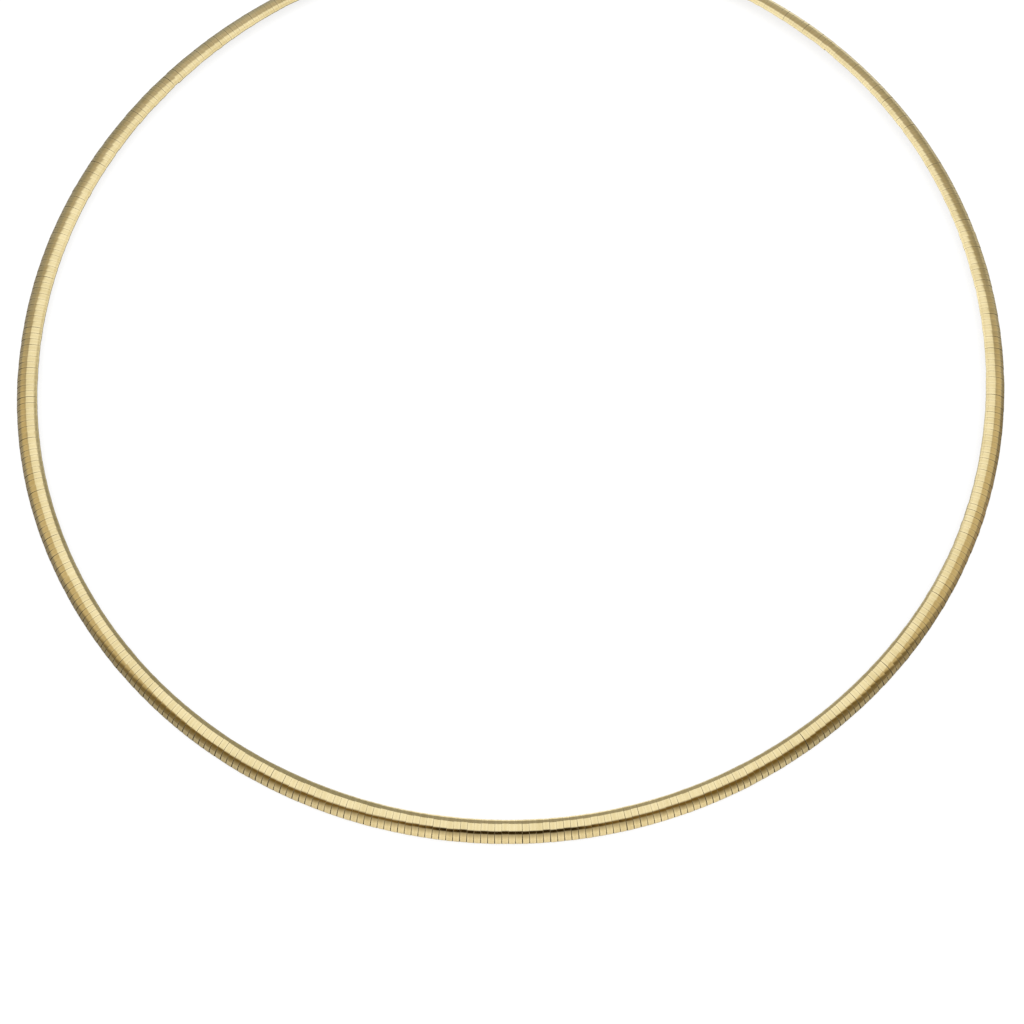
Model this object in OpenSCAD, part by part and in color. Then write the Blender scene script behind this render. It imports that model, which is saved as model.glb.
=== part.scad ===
// Omega chain choker lying on its side on a level surface, front toward -Y, clasp at +Y.
// Domed plates are folded round a flat woven core, and a plain clasp closes the loop.

/* [Chain] */
// Length round the middle of the chain with the clasp closed
chain_length = 406; // [380:1:440]
// Distance from one plate to the next along the middle of the chain
pitch = 0.845; // [0.8:0.005:0.9]
// Outward lean of the chain's face from level, in degrees
lean = 31.5; // [20:0.5:45]

/* [Plates] */
// Width of a plate across the chain
plate_w = 3.05; // [2.8:0.05:3.6]
// Thickness of the chain from the crown of a plate to its folded back
plate_t = 1.4; // [1.3:0.05:1.5]
// Outside radius of a plate's two folded edges
edge_r = 0.45; // [0.42:0.01:0.5]
// Thickness of the sheet that is folded into a plate
sheet_t = 0.25; // [0.2:0.01:0.25]
// Width of each edge that lies folded on the back
fold_w = 0.7; // [0.6:0.05:0.9]

/* [Lines between plates] */
// Width of the line between two plates
line_w = 0.16; // [0.12:0.01:0.2]
// Depth of the line at the crown of the plates
line_depth = 0.13; // [0.08:0.01:0.15]
// Depth of the line at the two edges of the plates
line_edge = 0.1; // [0.08:0.01:0.12]

/* [Core] */
// Clearance between the core and the plates all round it
core_gap = 0.12; // [0.1:0.01:0.14]
// Number of flat faces across the core's crown
core_faces = 8; // [6:1:12]
// Length of core that enters each end of the clasp
core_tail = 3; // [2:0.25:3.5]

/* [Clasp] */
// Least length of the clasp, which also takes up what is left over from whole plates
clasp_min = 11.5; // [10:0.5:16]
// Width of the clasp across the chain
clasp_w = 3.6; // [3.4:0.05:4.2]
// Thickness of the clasp
clasp_t = 1.8; // [1.7:0.05:2]
// Clearance between the clasp and the row of plates
end_gap = 0.1; // [0.1:0.01:0.2]

/* [Hidden] */
$fn = 96;
ring_r = chain_length / (2 * PI);
half_plates = floor((chain_length - clasp_min - 2 * end_gap) / (2 * pitch));
clasp_l = chain_length - 2 * half_plates * pitch - 2 * end_gap;
// Distance from the middle of the chain to the centre of a plate's rolled edge
edge_x = plate_w / 2 - edge_r;
// Height of the middle of the chain over the surface that its outer edge rests on
rest_z = edge_x * sin(lean) + edge_r;

// Angle at the middle of the loop for a length along the middle of the chain
function turn(arc) = arc / ring_r * 180 / PI;
// Radius of the crown arc that runs into both rolled edges without a corner
function crown_r(half, rise, edge) =
    (edge * edge - half * half - rise * rise) / (2 * (edge - rise));

// Section across the chain: crown upward, flat back, rolled edges, drawn smaller by inset
module domed_section(w, t, edge, inset) {
    half = w / 2 - edge;
    rise = t - edge;
    crown = crown_r(half, rise, edge);
    drop = rise - crown;
    translate([-half, inset - edge]) square([2 * half, edge - inset]);
    for (side = [-1, 1])
        translate([side * half, 0]) circle(r = edge - inset);
    intersection() {
        translate([0, drop]) circle(r = crown - inset);
        polygon([[-half, 0], [-half * 5, -drop * 4], [0, 6 * t], [half * 5, -drop * 4], [half, 0]]);
    }
}

// Section of the core: a flat woven bundle with a faceted crown and a flat back
module core_section(inset) {
    rise = plate_t - edge_r;
    crown = crown_r(edge_x, rise, edge_r);
    drop = rise - crown;
    reach = asin(edge_x / (crown - edge_r));
    polygon(concat(
        [for (i = [0:core_faces]) let (a = reach * (1 - 2 * i / core_faces))
            [(crown - inset) * sin(a), drop + (crown - inset) * cos(a)]],
        [[-edge_x, inset - edge_r], [edge_x, inset - edge_r]]));
}

// Section of one plate: a domed sheet with both edges folded onto the back
module plate_section() {
    slot = plate_w - 2 * fold_w;
    difference() {
        domed_section(plate_w, plate_t, edge_r, 0);
        domed_section(plate_w, plate_t, edge_r, sheet_t);
        translate([-slot / 2, -edge_r - 1]) square([slot, 1 + edge_r]);
    }
}

// Sweeps a section round the loop from one arc length to another, counted from the front
module along_loop(from, to) {
    rotate([0, 0, turn(from) - 90])
        rotate_extrude(angle = turn(to - from))
            translate([ring_r, rest_z]) rotate(-lean) children();
}

// Cutter for the line between two plates: deep on the crown, running out on both edges
module line_cutter(at) {
    floor_x = plate_w / 2 - line_edge;
    floor_y = plate_t - edge_r - line_depth;
    floor_r = (floor_x * floor_x + floor_y * floor_y) / (2 * floor_y);
    along_loop(at - line_w / 2, at + line_w / 2)
        difference() {
            translate([-plate_w, -edge_r]) square([2 * plate_w, 2 * plate_t]);
            translate([0, floor_y - floor_r]) circle(r = floor_r);
        }
}

// Half of the row of plates, from the middle of the front round to the clasp
module plate_row() {
    difference() {
        along_loop(line_w / 2, half_plates * pitch) plate_section();
        for (i = [1:half_plates - 1])
            line_cutter(i * pitch);
    }
}

module plates_right() {
    color("#d9b45e") plate_row();
}

module plates_left() {
    color("#d9b45e") mirror([1, 0, 0]) plate_row();
}

module woven_core() {
    reach = (chain_length - clasp_l) / 2 + core_tail;
    color("#c79f4f") along_loop(-reach, reach) core_section(sheet_t + core_gap);
}

module clasp() {
    end = (chain_length - clasp_l) / 2;
    color("#d2aa55")
        difference() {
            along_loop(end, end + clasp_l)
                translate([(plate_w - clasp_w) / 2, 0])
                    domed_section(clasp_w, clasp_t, edge_r, 0);
            for (side = [0, 1])
                mirror([side, 0, 0])
                    along_loop(end - 1, end + core_tail + core_gap) core_section(sheet_t);
        }
}

plates_left();
plates_right();
woven_core();
clasp();
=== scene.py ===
"""Looks of the omega chain choker: plates, woven core, clasp, floor, light box, room and camera.

Shapes are worked out in millimetres, and make_mesh turns them into metres. A place along the chain is s,
measured from the middle of the front and positive to the right, or th, the same place as an angle round
the loop in radians. A section across the chain is drawn with x outward and y out of the chain's face.
"""
import math

import bpy
import numpy as np
from mathutils import Matrix, Vector


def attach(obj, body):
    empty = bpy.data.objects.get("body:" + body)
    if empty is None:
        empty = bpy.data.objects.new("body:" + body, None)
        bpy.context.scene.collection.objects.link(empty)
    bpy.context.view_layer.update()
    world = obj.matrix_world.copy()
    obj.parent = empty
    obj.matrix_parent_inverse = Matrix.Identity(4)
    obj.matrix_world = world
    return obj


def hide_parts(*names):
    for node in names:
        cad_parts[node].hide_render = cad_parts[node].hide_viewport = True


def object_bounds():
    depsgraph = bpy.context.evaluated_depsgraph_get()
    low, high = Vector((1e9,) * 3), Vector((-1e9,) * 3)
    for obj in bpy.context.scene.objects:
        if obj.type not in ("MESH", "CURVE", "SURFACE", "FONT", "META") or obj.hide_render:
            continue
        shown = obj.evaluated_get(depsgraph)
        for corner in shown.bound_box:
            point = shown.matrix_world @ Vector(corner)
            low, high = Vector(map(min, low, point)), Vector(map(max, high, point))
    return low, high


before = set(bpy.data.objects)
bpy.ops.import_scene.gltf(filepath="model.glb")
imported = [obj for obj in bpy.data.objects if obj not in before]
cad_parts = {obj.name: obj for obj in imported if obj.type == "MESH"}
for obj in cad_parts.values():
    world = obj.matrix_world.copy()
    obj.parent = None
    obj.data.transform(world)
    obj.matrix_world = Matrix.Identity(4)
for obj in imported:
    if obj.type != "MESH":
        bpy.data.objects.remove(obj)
cad_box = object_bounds()

MM = 0.001
RNG = np.random.default_rng(406)

# Sizes of the plates, the clasp and the core, as in the part's source
PITCH = 0.845
HALF_PLATES = 233
PLATE_W, PLATE_T, EDGE_R, SHEET_T, FOLD_W = 3.05, 1.4, 0.45, 0.25, 0.7
EDGE_X = PLATE_W / 2 - EDGE_R
CORE_INSET = SHEET_T + 0.12
CORE_TAIL = 3
END_GAP = 0.1
CLASP_W, CLASP_L = 3.6, 12.03
# The clasp is a little thinner than in the source, so that it stays inside the box of the CAD model
CLASP_T = 1.79

# The real loop isn't quite round: its mean radius, its centre, and three waves added to its radius
LOOP_R = 64.587
CENTRE = np.array([0.205, -0.075])
WAVE_C3, WAVE_S3, WAVE_S2 = -0.123, 0.143, -0.474
# Lean of the chain's face from level, in degrees: its mean, two waves, and the lean at the clasp
LEAN_MEAN, LEAN_COS, LEAN_SIN, LEAN_CLASP = 31.44, -5.73, 5.2, 31.5
# Small bends of the chain: place round the loop and extra lean in degrees, and extra radius
BENDS = (
    (-180, 0, 0),
    (-147, 2, 0),
    (-137, -2, 0),
    (-120, -4.5, 0.06),
    (-100, -5, 0.05),
    (-90, -5, 0),
    (-80, -4.5, 0.1),
    (-60, 1.5, 0),
    (30, 0.5, 0),
    (40, 0.5, -0.05),
    (60, 2.5, 0.13),
    (72, -1, 0.11),
    (80, -3, 0.07),
    (90, -3, 0),
    (100, -2.5, 0),
    (120, 3, 0.05),
    (135, 7, 0),
    (146, 9, 0),
    (180, 0, 0),
)
BEND_AT, BEND_LEAN, BEND_RADIUS = zip(*BENDS)


# Path of the chain
def smooth(a, b, x):
    """0 up to a, 1 from b on, and an even curve between."""
    t = np.clip((np.asarray(x, float) - a) / (b - a), 0, 1)
    return t * t * (3 - 2 * t)


def bend(column, th):
    """A column of the small bends at an angle, eased between its rows."""
    deg = np.degrees(th)
    return sum(np.interp(deg + k, BEND_AT, column) for k in (-6, -3, 0, 3, 6)) / 5


def radius(th):
    """Distance from the loop's centre to the middle of the chain."""
    near_clasp = smooth(150, 172, np.abs(np.degrees(th)))
    wave = WAVE_C3 * np.cos(3 * th) + WAVE_S3 * np.sin(3 * th) + WAVE_S2 * np.sin(2 * th)
    return LOOP_R + wave * (1 - 0.25 * near_clasp) + bend(BEND_RADIUS, th)


def lean(th):
    """Lean of the face from level in radians."""
    free = LEAN_MEAN + LEAN_COS * np.cos(th) + LEAN_SIN * np.sin(th) + bend(BEND_LEAN, th)
    near_clasp = smooth(148, 170, np.abs(np.degrees(th)))
    return np.radians(free * (1 - near_clasp) + LEAN_CLASP * near_clasp)


def on_path(th):
    """Middle of the chain seen from above."""
    r = radius(th)
    return np.stack([r * np.sin(th), -r * np.cos(th)], -1) + CENTRE


PATH_TH = np.linspace(-math.pi, math.pi, 14401)
PATH_S = np.concatenate([[0], np.cumsum(np.linalg.norm(np.diff(on_path(PATH_TH), axis=0), axis=1))])
LOOP_L = PATH_S[-1]
PATH_S -= np.interp(0, PATH_TH, PATH_S)


def angle_at(s):
    """Angle round the loop for a place along the chain."""
    return np.interp(s, PATH_S, PATH_TH)


def frames(s):
    """Middle of the section, direction along the chain, across it outward, and out of its face."""
    th = angle_at(s)
    p = on_path(th)
    along = on_path(th + 1e-4) - on_path(th - 1e-4)
    along /= np.linalg.norm(along, axis=1)[:, None]
    out = np.stack([along[:, 1], -along[:, 0]], -1)
    tilt = lean(th)
    mid = np.concatenate([p, (EDGE_X * np.sin(tilt) + EDGE_R)[:, None]], 1)
    t = np.concatenate([along, np.zeros((len(s), 1))], 1)
    o = np.concatenate([out, np.zeros((len(s), 1))], 1)
    z = np.array([0, 0, 1.0])
    across = np.cos(tilt)[:, None] * o - np.sin(tilt)[:, None] * z
    face = np.sin(tilt)[:, None] * o + np.cos(tilt)[:, None] * z
    return mid, t, across, face


# Section and mesh helpers
def domed_outline(w, t, edge, inset, n_edge, n_crown):
    """Open line from the back's left corner over the crown to its right corner, with its normals."""
    half, rise = w / 2 - edge, t - edge
    crown = (edge * edge - half * half - rise * rise) / (2 * (edge - rise))
    drop = rise - crown
    reach = math.asin(half / (crown - edge))
    a_edge = np.linspace(-math.pi / 2, math.pi / 2 - reach, n_edge + 1)
    right = np.stack([half + (edge - inset) * np.cos(a_edge), (edge - inset) * np.sin(a_edge)], -1)
    n_right = np.stack([np.cos(a_edge), np.sin(a_edge)], -1)
    a_crown = np.linspace(reach, -reach, n_crown + 1)[1:-1]
    top = np.stack([(crown - inset) * np.sin(a_crown), drop + (crown - inset) * np.cos(a_crown)], -1)
    n_top = np.stack([np.sin(a_crown), np.cos(a_crown)], -1)
    left, n_left = right[::-1] * [-1, 1], n_right[::-1] * [-1, 1]
    pts = np.concatenate([right, top, left])[::-1]
    nrm = np.concatenate([n_right, n_top, n_left])[::-1]
    return pts, nrm


def make_mesh(name, verts, faces, layers=None):
    """An object from points in millimetres, with colour layers on its points."""
    mesh = bpy.data.meshes.new(name)
    mesh.from_pydata((np.asarray(verts) * MM).tolist(), [], faces)
    mesh.validate()
    for key, values in (layers or {}).items():
        layer = mesh.color_attributes.new(key, "FLOAT_COLOR", "POINT")
        layer.data.foreach_set("color", np.asarray(values, np.float32).ravel())
    mesh.set_sharp_from_angle(angle=math.radians(50))
    obj = bpy.data.objects.new(name, mesh)
    bpy.context.scene.collection.objects.link(obj)
    return obj


def sweep(s, outline):
    """Rings of an outline along the chain; outline is one set of points or one for each place."""
    mid, _, u, n = frames(s)
    o = np.asarray(outline)
    if o.ndim == 2:
        o = np.broadcast_to(o, (len(s),) + o.shape)
    return mid[:, None] + o[..., :1] * u[:, None] + o[..., 1:2] * n[:, None]


def tube_faces(rows, m):
    """Faces of a closed tube of rows of m points, with its two caps."""
    faces = []
    for a in range(rows - 1):
        for j in range(m):
            k = (j + 1) % m
            faces.append((a * m + j, a * m + k, (a + 1) * m + k, (a + 1) * m + j))
    faces.append(list(range(m))[::-1])
    faces.append(list(range((rows - 1) * m, rows * m)))
    return faces


# The camera comes from a fit to the chain's two edges and to its pitch
CAM_ELEVATION, CAM_ROLL, CAM_DISTANCE = 70.781, -0.445, 238.603
CAM_TARGET = (CENTRE[0] - 0.2146, CENTRE[1] - 22.9758, 1.012)
IMAGE_PX, FOCAL_PX, SENSOR = 1024, 1836.13, 36


def add_camera():
    el, roll = math.radians(CAM_ELEVATION), math.radians(CAM_ROLL)
    back = Vector((0, -math.cos(el), math.sin(el)))
    right = Vector((1, 0, 0))
    up = back.cross(right)
    rolled_right = math.cos(roll) * right + math.sin(roll) * up
    rolled_up = -math.sin(roll) * right + math.cos(roll) * up
    data = bpy.data.cameras.new("camera")
    data.sensor_fit = "HORIZONTAL"
    data.sensor_width = SENSOR
    data.lens = FOCAL_PX * SENSOR / IMAGE_PX
    data.clip_start, data.clip_end = 0.01, 20
    camera = bpy.data.objects.new("camera", data)
    turned = Matrix((rolled_right, rolled_up, back)).transposed().to_4x4()
    camera.matrix_world = Matrix.Translation((Vector(CAM_TARGET) + CAM_DISTANCE * back) * MM) @ turned
    bpy.context.scene.collection.objects.link(camera)
    bpy.context.scene.camera = camera


add_camera()

# Plates: each is a domed sheet folded round the core, straight along its own length
SLOT = PLATE_W / 2 - FOLD_W
EDGE_STEPS, CROWN_STEPS = 7, 12
OUTER, OUTER_N = domed_outline(PLATE_W, PLATE_T, EDGE_R, 0, EDGE_STEPS, CROWN_STEPS)
INNER, _ = domed_outline(PLATE_W, PLATE_T, EDGE_R, SHEET_T, EDGE_STEPS, CROWN_STEPS)
OUTER = np.concatenate([[[-SLOT, -EDGE_R]], OUTER, [[SLOT, -EDGE_R]]])
OUTER_N = np.concatenate([[[0, -1.0]], OUTER_N, [[0, -1.0]]])
INNER = np.concatenate([[[-SLOT, SHEET_T - EDGE_R]], INNER, [[SLOT, SHEET_T - EDGE_R]]])
M = len(OUTER)
# Rounding of a plate's end, from its edge inward: how far in and how far under the surface, both in radii
# of the rounding, and how much painted shade of the gap lies there
END_ROWS = ((0, 1.0, 1.0), (0.29, 0.29, 1.0), (1.0, 0.0, 0.75), (1.35, 0.0, 0.0))
STATIONS = (
    [(back_off, under, gap_shade, 1) for back_off, under, gap_shade in END_ROWS]
    + [(0, 0.0, 0.0, 0)]
    + [(back_off, under, gap_shade, -1) for back_off, under, gap_shade in END_ROWS[::-1]]
)
K = len(STATIONS)
# Fall of a plate's surface from its middle to its ends
DOME = 0.006
# The lips of neighbours lie this far under the surface, each this far short of the gap's middle, so that
# they all but meet. They fan out with the loop, by half the turn from one plate to the next on each side
LIP_DEPTH = 0.075
TOUCH = 0.0005
FAN = PITCH / (2 * LOOP_R) * math.cos(math.radians(LEAN_MEAN))
# Radius of the rounding on the inner side, and what it gains toward the outer side
TURN_R, TURN_MORE = 0.011, 0.012
# How much shorter a plate's outer side is at the front, what the wings add there, and what they take off
# the whole plate
NARROW_FRONT, NARROW_WING, NARROW_ALL = 0.010, 0.022, 0.004
# Least gap between plates, its spread, the share of wide gaps and what those have more
GAP_LEAST, GAP_SPREAD, GAP_WIDE_SHARE, GAP_WIDE_MORE = 0.013, 0.004, 0.07, (0.012, 0.035)
# Room that the plates keep inside the box of the CAD model, and above the surface
BOX_ROOM, FLOOR_ROOM = 0.004, 0.002
BOX_LOW = np.array([v / MM + BOX_ROOM for v in cad_box[0]])
BOX_HIGH = np.array([v / MM - BOX_ROOM for v in cad_box[1]])


def layer_row(*values):
    """Red, green, blue and full alpha for one row of a plate's points."""
    return np.stack([np.broadcast_to(v, M) for v in (*values, 1.0)], 1)


def faulty_axes(t, u, n, tip, roll):
    """A plate's own axes, tipped along the chain and rolled round it by small angles."""
    t = t + tip * n
    t /= np.linalg.norm(t)
    u = u + roll * n
    u -= t * (u @ t)
    u /= np.linalg.norm(u)
    out = np.cross(u, t)
    return t, u, out * np.sign(out @ n)


def plate_rows(long, gaps, lift, wing):
    """Rows round one plate: points of the section, place along the plate, painted gap shade and a painted
    highlight toward the plate's ends.
    """
    x = OUTER[:, 0]
    narrow = (NARROW_FRONT + NARROW_WING * wing) * smooth(0.0, 1.3, x) + NARROW_ALL * wing + lift
    turn_r = TURN_R + TURN_MORE * smooth(-0.2, 1.2, x)
    # Painted gap shade, stronger toward the outer side of the section
    gap_shade_strength = 0.4 + 0.6 * smooth(-0.4, 0.5, x)
    rows = []
    for back_off, under, gap_shade, end in STATIONS:
        at = end * (long / 2 - narrow - back_off * turn_r)
        fall = under * turn_r + DOME * (2 * at / PITCH) ** 2
        # Each row: points, place along the plate, painted gap shade, and a painted highlight that rises
        # from the plate's middle to its ends, a little more in the wings
        rows.append((OUTER - OUTER_N * fall[:, None], at, gap_shade * gap_shade_strength, abs(end) * (0.85 + 0.15 * wing)))
    for side, near in ((1, gaps[1]), (-1, gaps[0])):
        lip = side * (long / 2 + near / 2 + FAN * x - TOUCH)
        # The lips between plates take full painted gap shade
        rows.append((OUTER - OUTER_N * LIP_DEPTH, lip, 1, 0))
        rows.append((INNER, lip, 1, 0))
    return rows


def plate_faces(base):
    """Faces of one plate whose first point is base: over the crown, down the ends and back inside."""
    loop = list(range(K)) + [K + 2, K + 3, K + 1, K]
    faces = []
    for j in range(M - 1):
        for a, b in zip(loop, loop[1:] + loop[:1]):
            faces.append((base + a * M + j, base + b * M + j, base + b * M + j + 1, base + a * M + j + 1))
    faces.append([base + a * M for a in loop][::-1])
    faces.append([base + a * M + M - 1 for a in loop])
    return faces


def build_plates(name, order):
    """One joined mesh of the plates in order, with each plate's own small faults."""
    s = PLATE_S[order]
    mid, t, u, n = frames(s)
    # The gaps show more in the two wings, 40 to 60 degrees from the front, and half as much behind them
    away = np.abs(np.degrees(angle_at(s)))
    wing = smooth(15, 40, away) * (1 - 0.5 * smooth(60, 90, away))
    verts, tone_shade_highlight, place, faces = [], [], [], []
    for k, i in enumerate(order):
        tip, roll, lift, tone = FAULTS[i]
        along, across, face = faulty_axes(t[k], u[k], n[k], tip, roll)
        block = []
        for p, at, gap_shade, end_highlight in plate_rows(PLATE_L, GAPS[i : i + 2], lift, wing[k]):
            block.append(mid[k] + p[:, :1] * across + p[:, 1:] * face + at[:, None] * along)
            tone_shade_highlight.append(layer_row(tone, gap_shade, end_highlight))
            place.append(layer_row(PLATE_S[i] + at, OUTER[:, 0], 0))
        block = np.clip(block, BOX_LOW, BOX_HIGH)
        block[..., 2] += max(0.0, FLOOR_ROOM - block[..., 2].min())
        faces += plate_faces(k * block.shape[0] * M)
        verts.append(block.reshape(-1, 3))
    layers = {"tone_shade_highlight": np.concatenate(tone_shade_highlight), "place": np.concatenate(place)}
    return make_mesh(name, np.concatenate(verts), faces, layers)


# Spread of the plates' own faults: tip and roll in degrees, shortening, and tone, which is 0.5 in the mean.
# The roll also wanders slowly along the chain, straight from one to the next of a number of places
TIP_SPREAD, ROLL_SPREAD, ROLL_WANDER, SHORT_SPREAD, TONE_SPREAD = 0.7, 1.2, 0.6, 0.003, 0.18
WANDER_PLACES = 48
COUNT = 2 * HALF_PLATES
places = np.linspace(0, COUNT, WANDER_PLACES)
wander = np.interp(np.arange(COUNT), places, RNG.normal(0, 1, WANDER_PLACES))
FAULTS = np.stack([
    RNG.normal(0, math.radians(TIP_SPREAD), COUNT),
    RNG.normal(0, math.radians(ROLL_SPREAD), COUNT) + math.radians(ROLL_WANDER) * wander,
    np.abs(RNG.normal(0, SHORT_SPREAD, COUNT)),
    np.clip(RNG.normal(0.5, TONE_SPREAD, COUNT), 0, 1),
], 1)
GAPS = GAP_LEAST + np.abs(RNG.normal(0, GAP_SPREAD, COUNT + 1))
wide = RNG.random(COUNT + 1) < GAP_WIDE_SHARE
GAPS[wide] += RNG.uniform(*GAP_WIDE_MORE, wide.sum())
PLATE_L = (LOOP_L - CLASP_L - 2 * END_GAP - GAPS[1:-1].sum()) / COUNT
first_end = CLASP_L / 2 + END_GAP - LOOP_L / 2
PLATE_S = first_end + PLATE_L * (np.arange(COUNT) + 0.5) + np.concatenate([[0], np.cumsum(GAPS[1:-1])])

pieces = {}
quarter = COUNT // 4
for name, first, end in (
    ("plates_left_back", 0, quarter),
    ("plates_left_front", quarter, COUNT // 2),
    ("plates_right_front", COUNT // 2, COUNT - quarter),
    ("plates_right_back", COUNT - quarter, COUNT),
):
    pieces[name] = build_plates(name, np.arange(first, end))

# Woven core: a flat bundle with a plain weave of round wires on the back, which the slot shows
CORE_LOW = CORE_INSET - EDGE_R
CORE_REACH = (LOOP_L - CLASP_L) / 2 + CORE_TAIL
# Height of the weave's middle, and the distance from one cross wire to the next
WEAVE_Y = CORE_LOW + 0.1
BEAT = 0.62
# Long wires: how many, how far out the last one lies, how far they wave, and their radii in x and y
LONG_WIRES, LONG_EDGE, LONG_WAVE, LONG_RX, LONG_RY = 8, 0.86, 0.04, 0.105, 0.06
# Cross wires: points along each, how far out they reach, how far they wave, and their radii in s and y
CROSS_POINTS, CROSS_EDGE, CROSS_WAVE, CROSS_RS, CROSS_RY = 12, 0.95, 0.035, 0.1, 0.055
WIRE_PITCH = 2 * LONG_EDGE / (LONG_WIRES - 1)
WIRE_SIDES = np.arange(5) * 2 * math.pi / 5


def core_bundle(side):
    """The flat bundle under the weave, from the front middle to its end inside the clasp."""
    out, _ = domed_outline(PLATE_W, PLATE_T, EDGE_R, CORE_INSET + 0.04, 3, 10)
    low = CORE_LOW + 0.12
    out = out[out[:, 1] > low]
    out = np.concatenate([[[out[0, 0], low]], out, [[out[-1, 0], low]]])
    return sweep(np.linspace(*sorted((0, side * CORE_REACH)), 210), out)


def long_wire(side, k):
    """A wire along the chain, which passes over one cross wire and under the next."""
    steps = int(CORE_REACH / BEAT) * 4
    s = np.linspace(*sorted((0, side * (CORE_REACH - 0.1))), steps)
    x = LONG_EDGE * (2 * k / (LONG_WIRES - 1) - 1)
    y = WEAVE_Y + LONG_WAVE * np.sin(math.pi * s / BEAT + math.pi * (k % 2))
    ring_x = np.broadcast_to(x + LONG_RX * np.cos(WIRE_SIDES), (steps, len(WIRE_SIDES)))
    ring_y = y[:, None] + LONG_RY * np.sin(WIRE_SIDES)
    return sweep(s, np.stack([ring_x, ring_y], -1))


def cross_wires(side):
    """The wires across the chain, one to each beat."""
    steps = np.arange(int((CORE_REACH - 0.4) / BEAT))
    mid, t, u, n = frames(side * (steps + 0.5) * BEAT)
    x = np.linspace(-CROSS_EDGE, CROSS_EDGE, CROSS_POINTS)
    for k in steps:
        flip = math.pi * (k if side > 0 else k + 1)
        y = WEAVE_Y + CROSS_WAVE * np.sin(math.pi * (x + LONG_EDGE) / WIRE_PITCH + flip)
        line = mid[k] + x[:, None] * u[k] + y[:, None] * n[k]
        ring = CROSS_RS * np.cos(WIRE_SIDES)[:, None] * t[k] + CROSS_RY * np.sin(WIRE_SIDES)[:, None] * n[k]
        yield line[:, None] + ring[None]


def build_core(name, side):
    """Half of the core as one joined mesh."""
    tubes = [core_bundle(side), *(long_wire(side, k) for k in range(LONG_WIRES)), *cross_wires(side)]
    verts, faces, total = [], [], 0
    for rings in tubes:
        rows, m, _ = rings.shape
        faces += [[total + j for j in face] for face in tube_faces(rows, m)]
        verts.append(rings.reshape(-1, 3))
        total += rows * m
    return make_mesh(name, np.concatenate(verts), faces)


for name, side in (("woven_core_left", -1), ("woven_core_right", 1)):
    pieces[name] = build_core(name, side)

# Clasp
CLASP_ROUND = 0.22
CLASP_ROWS = 40


def build_clasp(name):
    """A plain domed body with softened ends that closes over the ends of the chain."""
    half = CLASP_L / 2
    turns = np.linspace(0, math.pi / 2, 6)
    inset = CLASP_ROUND * (1 - np.sin(turns))
    off = CLASP_ROUND * (1 - np.cos(turns))
    middle = np.linspace(-half, half, CLASP_ROWS)[2:-2]
    s = np.concatenate([-half + off, middle, (half - off)[::-1]])
    s = np.where(s >= 0, s - LOOP_L / 2, s + LOOP_L / 2)
    rings = []
    for k in np.concatenate([inset, np.zeros(len(middle)), inset[::-1]]):
        out, _ = domed_outline(CLASP_W, CLASP_T, EDGE_R, k, 8, 16)
        rings.append(out + [(PLATE_W - CLASP_W) / 2, 0])
    rings = sweep(s, rings)
    return make_mesh(name, rings.reshape(-1, 3), tube_faces(*rings.shape[:2]))


pieces["clasp_body"] = build_clasp("clasp_body")


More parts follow.
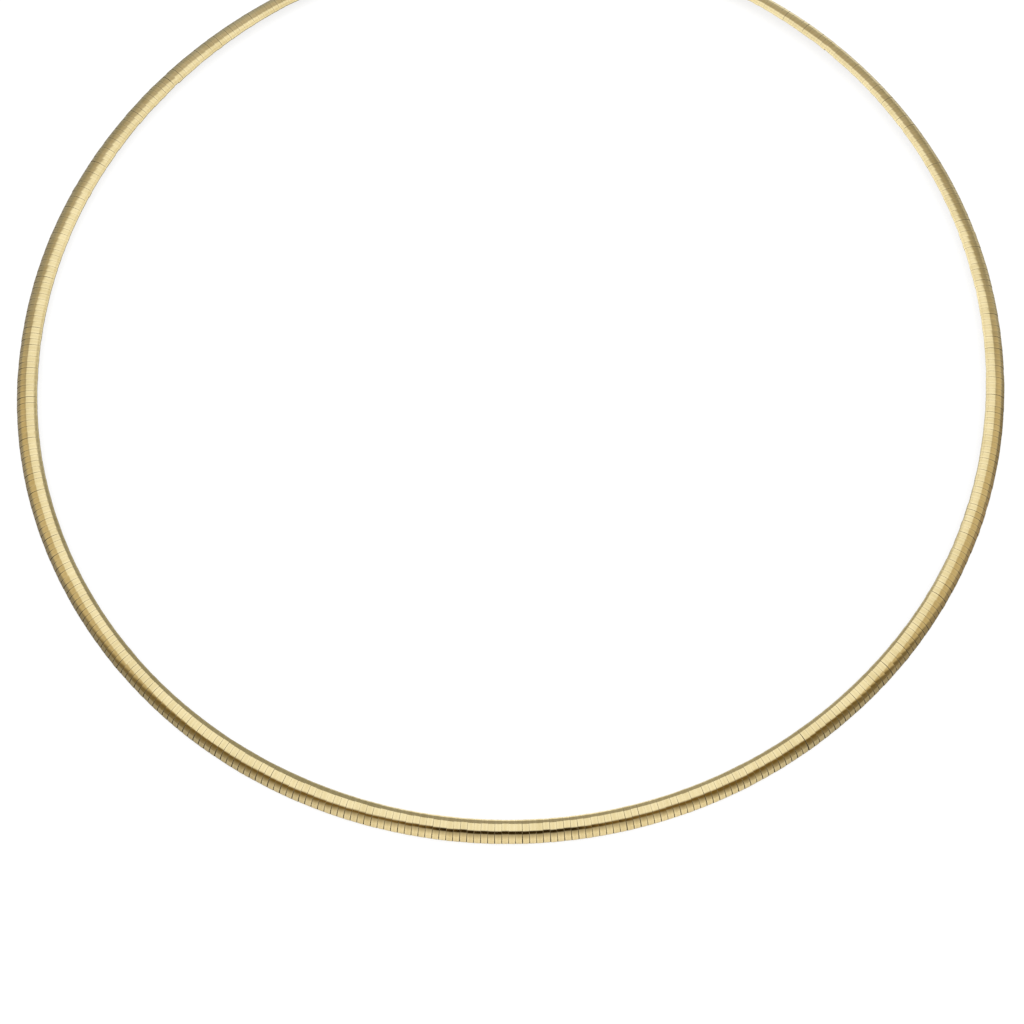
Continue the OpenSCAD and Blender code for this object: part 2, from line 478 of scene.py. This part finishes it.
# Materials
class Nodes:
    """Short calls for the nodes of one material or world."""

    def __init__(self, owner):
        owner.use_nodes = True
        self.tree = owner.node_tree
        self.tree.nodes.clear()

    def add(self, kind, **values):
        node = self.tree.nodes.new(kind)
        for key, value in values.items():
            setattr(node, key, value)
        return node

    def link(self, a, b):
        self.tree.links.new(a, b)

    def put(self, value, socket):
        if hasattr(value, "links"):
            self.link(value, socket)
        else:
            socket.default_value = value

    def math(self, op, *values):
        node = self.add("ShaderNodeMath", operation=op)
        for k, value in enumerate(values):
            self.put(value, node.inputs[k])
        return node.outputs[0]

    def ramp(self, value, lo, hi, a=0.0, b=1.0, kind="SMOOTHSTEP"):
        node = self.add("ShaderNodeMapRange", interpolation_type=kind)
        self.put(value, node.inputs["Value"])
        for key, v in (("From Min", lo), ("From Max", hi), ("To Min", a), ("To Max", b)):
            self.put(v, node.inputs[key])
        return node.outputs["Result"]

    def mix(self, factor, a, b):
        """From colour a to colour b; a colour is three numbers or a socket."""
        node = self.add("ShaderNodeMix", data_type="RGBA")
        self.put(factor, node.inputs["Factor"])
        for value, socket in ((a, node.inputs[6]), (b, node.inputs[7])):
            self.put(value if hasattr(value, "links") else (*value, 1), socket)
        return node.outputs[2]

    def mix_value(self, factor, a, b):
        """From number a to number b, both sockets."""
        node = self.add("ShaderNodeMix", data_type="FLOAT")
        for value, socket in zip((factor, a, b), (node.inputs[0], node.inputs[2], node.inputs[3])):
            self.link(value, socket)
        return node.outputs[0]

    def stops(self, value, lo, hi, rows):
        """Colours at places along a range, blended straight from one to the next."""
        node = self.add("ShaderNodeValToRGB")
        self.put(self.ramp(value, lo, hi, kind="LINEAR"), node.inputs["Fac"])
        while len(node.color_ramp.elements) < len(rows):
            node.color_ramp.elements.new(0.5)
        for element, (at, colour) in zip(node.color_ramp.elements, rows):
            element.position = (at - lo) / (hi - lo)
            element.color = (*colour, 1)
        return node.outputs["Color"]

    def noise(self, vector, scale, detail=3.0, rough=0.55, stretch=None):
        if stretch:
            mapping = self.add("ShaderNodeMapping")
            mapping.inputs["Scale"].default_value = stretch
            self.link(vector, mapping.inputs["Vector"])
            vector = mapping.outputs["Vector"]
        node = self.add("ShaderNodeTexNoise")
        self.link(vector, node.inputs["Vector"])
        node.inputs["Scale"].default_value = scale
        node.inputs["Detail"].default_value = detail
        node.inputs["Roughness"].default_value = rough
        return node.outputs["Fac"]

    def layer(self, name):
        return self.add("ShaderNodeVertexColor", layer_name=name).outputs["Color"]

    def place(self, kind="Object"):
        return self.add("ShaderNodeTexCoord").outputs[kind]

    def split(self, vector, kind="ShaderNodeSeparateXYZ"):
        node = self.add(kind)
        self.link(vector, node.inputs[0])
        return node.outputs[:3]

    def round_turn(self, x, y):
        """Degrees round the upright axis, 0 toward the front and positive to the right."""
        return self.math("MULTIPLY", self.math("ARCTAN2", x, self.math("MULTIPLY", y, -1.0)), 180 / math.pi)

    def mirrored(self):
        """1 where a reflection looks, 0 for the camera and for the light that falls on things."""
        return self.add("ShaderNodeLightPath").outputs["Is Glossy Ray"]


GOLD = (0.86, 0.72, 0.39)
GOLD_PALE = (0.89, 0.765, 0.445)
GOLD_DEEP = (0.78, 0.60, 0.28)
# Plate colours: the base, and a pale colour that random tone, hairs and the painted highlight at the
# plate's ends lean toward
PLATE_MIDDLE = (0.805, 0.667, 0.357)
PLATE_PALE_AND_HIGHLIGHT = (0.98, 0.84, 0.50)
# Painted shade for the gaps between plates, near black
GAP_SHADE_COLOUR = (0.022, 0.010, 0.003)


def gold(name, base, pale, rough, bump, plates=False):
    """Polished gold with clouds, fine pits and rub marks; on plates also a painted highlight toward each
    plate's ends, hairs and painted shade in the gaps.
    """
    mat = bpy.data.materials.new(name)
    n = Nodes(mat)
    out = n.add("ShaderNodeOutputMaterial")
    bsdf = n.add("ShaderNodeBsdfPrincipled")
    n.link(bsdf.outputs[0], out.inputs["Surface"])
    bsdf.inputs["Metallic"].default_value = 1.0
    bsdf.inputs["Specular IOR Level"].default_value = 0.0
    where = n.place()
    cloud = n.noise(where, 260)
    fine = n.noise(where, 2600, 3, 0.6)
    rub = n.noise(where, 900, 3, 0.7, (1, 1, 0.25))
    colour = n.mix(n.ramp(cloud, 0.35, 0.65), base, pale)
    r = n.math("ADD", rough, n.math("MULTIPLY", n.ramp(fine, 0.3, 0.75), 0.05))
    if plates:
        # The plates' colour layer holds random tone, painted gap shade and a painted highlight at each
        # plate's ends
        tone, gap_shade, end_highlight = n.split(n.layer("tone_shade_highlight"), "ShaderNodeSeparateColor")
        hairs = n.noise(n.layer("place"), 1.0, 3, 0.6, (11, 0.9, 1))
        # Painted highlight toward the plate's ends, with random tone and hair streaks, leans the colour to
        # the pale one
        highlight_and_tone = n.math("ADD", end_highlight, n.math("MULTIPLY", n.math("SUBTRACT", tone, 0.5), 0.6))
        highlight_and_tone = n.math("ADD", highlight_and_tone, n.math("MULTIPLY", n.math("SUBTRACT", hairs, 0.5), 1.1))
        colour = n.mix(0.35, n.mix(n.ramp(highlight_and_tone, 0.0, 1.0, kind="LINEAR"), base, pale), colour)
        # Painted shade darkens the gaps and the roundings beside them, and makes them rough and not metal
        colour = n.mix(n.math("MULTIPLY", n.ramp(gap_shade, 0.1, 0.9), 0.9), colour, GAP_SHADE_COLOUR)
        r = n.math("ADD", r, n.math("MULTIPLY", gap_shade, 0.6))
        n.put(n.ramp(gap_shade, 0.3, 0.9, 1.0, 0.0), bsdf.inputs["Metallic"])
    n.put(colour, bsdf.inputs["Base Color"])
    n.put(r, bsdf.inputs["Roughness"])
    relief = n.add("ShaderNodeBump")
    relief.inputs["Strength"].default_value = bump
    relief.inputs["Distance"].default_value = 0.01 * MM
    n.put(n.math("ADD", rub, n.math("MULTIPLY", fine, 0.5)), relief.inputs["Height"])
    n.link(relief.outputs["Normal"], bsdf.inputs["Normal"])
    return mat


plate_gold = gold("polished_plate_gold", PLATE_MIDDLE, PLATE_PALE_AND_HIGHLIGHT, rough=0.06, bump=0.2, plates=True)
core_gold = gold("woven_core_gold", GOLD_DEEP, GOLD, rough=0.28, bump=0.5)
clasp_gold = gold("polished_clasp_gold", GOLD, GOLD_PALE, rough=0.12, bump=0.25)

# Each piece with the node that it replaces, its material and the record's slot
for name, node, mat, slot in (
    ("plates_left_back", "plates_left", plate_gold, "plate_gold"),
    ("plates_left_front", "plates_left", plate_gold, "plate_gold"),
    ("plates_right_front", "plates_right", plate_gold, "plate_gold"),
    ("plates_right_back", "plates_right", plate_gold, "plate_gold"),
    ("woven_core_left", "woven_core", core_gold, "core_gold"),
    ("woven_core_right", "woven_core", core_gold, "core_gold"),
    ("clasp_body", "clasp", clasp_gold, "clasp_gold"),
):
    piece = pieces[name]
    piece.data.materials.append(mat)
    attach(piece, "root")
    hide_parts(node)


# Stage
def stage_mesh(name, verts, faces, mat):
    """A stage object from points in metres."""
    mesh = bpy.data.meshes.new(name)
    mesh.from_pydata(verts, [], faces)
    mesh.materials.append(mat)
    obj = bpy.data.objects.new(name, mesh)
    bpy.context.scene.collection.objects.link(obj)
    return obj


def circle(r, z, sides):
    turns = np.linspace(0, 2 * math.pi, sides + 1)[:-1]
    return [(r * math.cos(a), r * math.sin(a), z) for a in turns]


# The floor outside the ring as reflections see it, by degrees round the loop: painted reflection tones,
# darker than the white floor and darkest to the sides, standing in for shade near the ring
FLOOR_TONES = (
    (-180, (0.46, 0.46, 0.46)),
    (-150, (0.26, 0.26, 0.26)),
    (-122, (0.235, 0.235, 0.23)),
    (-102, (0.22, 0.21, 0.20)),
    (-82, (0.24, 0.225, 0.21)),
    (-69, (0.19, 0.175, 0.165)),
    (-53, (0.20, 0.185, 0.165)),
    (-38, (0.31, 0.29, 0.255)),
    (-14, (0.64, 0.61, 0.555)),
    (22, (0.64, 0.61, 0.55)),
    (38, (0.33, 0.31, 0.275)),
    (53, (0.20, 0.17, 0.125)),
    (69, (0.25, 0.20, 0.145)),
    (82, (0.165, 0.14, 0.10)),
    (102, (0.34, 0.32, 0.275)),
    (122, (0.36, 0.345, 0.32)),
    (145, (0.66, 0.66, 0.66)),
    (180, (0.46, 0.46, 0.46)),
)
# Radius of the floor in metres, and its glow for everything but reflections
FLOOR_R = 3
FLOOR_GLOW = 0.8


def floor_material():
    """Pale floor that glows a little, so that it is white; reflections see painted tones instead, set by
    direction round the ring, with a painted shadow by the left half's inner side.
    """
    mat = bpy.data.materials.new("pale_floor")
    n = Nodes(mat)
    out = n.add("ShaderNodeOutputMaterial")
    bsdf = n.add("ShaderNodeBsdfPrincipled")
    n.link(bsdf.outputs[0], out.inputs["Surface"])
    bsdf.inputs["Roughness"].default_value = 0.8
    bsdf.inputs["Specular IOR Level"].default_value = 0.1
    bsdf.inputs["Emission Color"].default_value = (1, 1, 1, 1)
    where = n.place()
    x, y, _ = n.split(where)
    turn = n.round_turn(x, y)
    away = n.math("ABSOLUTE", turn)
    # 0 on the left and 1 on the right
    hand = n.ramp(x, -0.02, 0.02)
    far = n.math("SQRT", n.math("ADD", n.math("POWER", x, 2.0), n.math("POWER", y, 2.0)))
    # Painted reflection tones of the floor inside the ring: pale in front, darker at the flanks, lighter
    # behind
    flank = n.mix(hand, (0.30, 0.29, 0.27), (0.40, 0.40, 0.40))
    rear = n.mix(hand, (0.66, 0.66, 0.63), (0.78, 0.78, 0.76))
    inside = n.mix(n.ramp(away, 8, 32), (0.80, 0.80, 0.80), flank)
    inside = n.mix(n.ramp(away, 68, 100), inside, rear)
    # Painted shadow on the floor close to the inner side of the left half, which only reflections see
    left_rim_shadow = n.math("MULTIPLY", n.ramp(far, 0.0605, 0.0625), n.ramp(turn, -60, -90))
    left_rim_shadow = n.math("MULTIPLY", left_rim_shadow, n.ramp(turn, -178, -150))
    inside = n.mix(left_rim_shadow, inside, (0.3, 0.28, 0.24))
    tones = n.mix(n.ramp(far, 0.064, 0.066), inside, n.stops(turn, -180, 180, FLOOR_TONES))
    pale = n.mix(n.noise(where, 40), (0.18, 0.18, 0.181), (0.20, 0.20, 0.201))
    mirrored = n.mirrored()
    n.put(n.mix(mirrored, pale, tones), bsdf.inputs["Base Color"])
    glow = n.math("MULTIPLY", n.math("SUBTRACT", 1.0, mirrored), FLOOR_GLOW)
    n.put(glow, bsdf.inputs["Emission Strength"])
    return mat


# The bright panel over the ring, in metres: half its length, half its width and its height
PANEL_HALF_X, PANEL_HALF_Y, PANEL_Z = 0.3, 0.2, 0.22


def panel_material():
    """A bright field with soft edges, whose front edge bends back over the two wings."""
    mat = bpy.data.materials.new("light_box_glow")
    n = Nodes(mat)
    out = n.add("ShaderNodeOutputMaterial")
    glow = n.add("ShaderNodeEmission")
    clear = n.add("ShaderNodeBsdfTransparent")
    both = n.add("ShaderNodeMixShader")
    x, y, _ = n.split(n.place())
    away = n.math("ABSOLUTE", x)
    sides = n.math("MULTIPLY", n.ramp(x, -0.225, -0.18), n.ramp(x, 0.24, 0.18))
    bent_y = n.math("ADD", y, n.ramp(x, -0.03, -0.09, 0.0, 0.012))
    bent_y = n.math("SUBTRACT", bent_y, n.ramp(x, 0.05, 0.18, 0.0, 0.02))
    wing = n.ramp(away, 0.015, 0.08)
    front_from = n.ramp(wing, 0, 1, -0.174, -0.184)
    front_to = n.ramp(wing, 0, 1, -0.128, -0.108)
    ends = n.math("MULTIPLY", n.ramp(bent_y, front_from, front_to), n.ramp(y, 0.165, 0.11))
    n.put(n.mix(n.ramp(away, 0.06, 0.2), (1.0, 1.0, 1.0), (0.93, 0.92, 0.88)), glow.inputs["Color"])
    n.put(n.math("MULTIPLY", sides, ends), both.inputs[0])
    n.link(clear.outputs[0], both.inputs[1])
    n.link(glow.outputs[0], both.inputs[2])
    n.link(both.outputs[0], out.inputs["Surface"])
    return mat


# The low round card inside the ring: its radius and height in metres, and its number of flat sides
CARD_R, CARD_TOP, CARD_SIDES = 0.045, 0.030, 48


def card_material():
    """Glow of the card inside the ring: dim toward the front, brighter to the sides and the back."""
    mat = bpy.data.materials.new("inner_card_glow")
    n = Nodes(mat)
    out = n.add("ShaderNodeOutputMaterial")
    glow = n.add("ShaderNodeEmission")
    n.link(glow.outputs[0], out.inputs["Surface"])
    x, y, z = n.split(n.place())
    turn = n.round_turn(x, y)
    front = n.mix(n.ramp(z, 0.002, 0.009), (0.95, 0.94, 0.91), (0.37, 0.35, 0.32))
    flank = n.mix(n.ramp(turn, -12, 12), (0.33, 0.32, 0.28), (0.40, 0.38, 0.34))
    tint = n.mix(n.ramp(n.math("ABSOLUTE", turn), 5, 22), front, flank)
    tint = n.mix(n.ramp(turn, -82, -115), tint, (0.90, 0.87, 0.80))
    n.put(n.mix(n.ramp(turn, 62, 84), tint, (0.96, 0.95, 0.93)), glow.inputs["Color"])
    return mat


stage_mesh("floor", circle(FLOOR_R, 0, 96), [list(range(96))], floor_material())
panel = stage_mesh(
    "light_box_panel",
    [
        (-PANEL_HALF_X, -PANEL_HALF_Y, PANEL_Z),
        (-PANEL_HALF_X, PANEL_HALF_Y, PANEL_Z),
        (PANEL_HALF_X, PANEL_HALF_Y, PANEL_Z),
        (PANEL_HALF_X, -PANEL_HALF_Y, PANEL_Z),
    ],
    [(0, 1, 2, 3)],
    panel_material(),
)
card = stage_mesh(
    "inner_card",
    circle(CARD_R, 0, CARD_SIDES) + circle(CARD_R, CARD_TOP, CARD_SIDES),
    [
        (k, (k + 1) % CARD_SIDES, CARD_SIDES + (k + 1) % CARD_SIDES, CARD_SIDES + k)
        for k in range(CARD_SIDES)
    ],
    card_material(),
)
# Only reflections see the panel and the card
for obj in (panel, card):
    obj.visible_camera = obj.visible_shadow = obj.visible_diffuse = False
    obj.visible_transmission = obj.visible_volume_scatter = False


def add_room():
    """White for the camera; reflections see a room with a dark bar in front and brown to its sides."""
    world = bpy.data.worlds.new("room")
    bpy.context.scene.world = world
    world.cycles.sampling_method = "NONE"
    n = Nodes(world)
    out = n.add("ShaderNodeOutputWorld")
    sky = n.add("ShaderNodeBackground")
    n.link(sky.outputs[0], out.inputs["Surface"])
    x, y, height = n.split(n.place("Generated"))
    away = n.math("ABSOLUTE", n.round_turn(x, y))
    # 0 on the left and 1 on the right
    hand = n.ramp(x, -0.1, 0.1)

    bar = n.mix(n.ramp(away, 8, 24), (0.03, 0.018, 0.004), (0.18, 0.115, 0.034))
    high = n.mix(n.ramp(away, 18, 36), (0.44, 0.40, 0.34), (0.17, 0.12, 0.045))
    low = n.mix(n.ramp(away, 14, 62), (0.86, 0.81, 0.72), (0.21, 0.17, 0.11))
    under_bar = n.mix(n.ramp(height, 0.62, 0.08, kind="LINEAR"), high, low)
    front = n.mix(n.ramp(height, 0.75, 0.60), bar, under_bar)

    side_low = n.mix(hand, (0.46, 0.415, 0.32), (0.55, 0.49, 0.375))
    side = n.mix(n.ramp(height, 0.35, 0.0), (0.62, 0.53, 0.37), side_low)

    rear_high = n.mix(hand, (0.46, 0.41, 0.33), (0.43, 0.385, 0.30))
    rear_low = n.mix(hand, (0.34, 0.32, 0.28), (0.34, 0.315, 0.265))
    rear = n.mix(n.ramp(height, 0.7, 0.3), rear_high, rear_low)

    back_high = n.mix(hand, (0.54, 0.50, 0.45), (0.46, 0.42, 0.36))
    back_low = n.mix(hand, (0.42, 0.42, 0.41), (0.50, 0.49, 0.46))
    back = n.mix(n.ramp(height, 0.7, 0.2), back_high, back_low)

    left_edge = n.math("ADD", away, n.math("MULTIPLY", height, 22.0))
    right_edge = n.math("ADD", away, n.math("MULTIPLY", height, 16.0))
    room = n.mix(n.mix_value(hand, n.ramp(left_edge, 73, 90), n.ramp(right_edge, 72, 82)), front, side)
    room = n.mix(n.ramp(away, 108, 126), room, rear)
    room = n.mix(n.ramp(away, 138, 158), room, back)
    n.put(n.mix(n.mirrored(), (1.0, 1.0, 1.005), room), sky.inputs["Color"])


def add_soft_light():
    key = bpy.data.lights.new("soft_light", "AREA")
    key.shape, key.size, key.size_y, key.energy = "RECTANGLE", 1.4, 1.2, 8
    light = bpy.data.objects.new("soft_light", key)
    light.location = (0.05, 0.15, 1.1)
    light.visible_camera = light.visible_glossy = False
    bpy.context.scene.collection.objects.link(light)


add_room()
add_soft_light()
bpy.context.scene.view_settings.view_transform = "Standard"
bpy.context.scene.view_settings.look = "None"
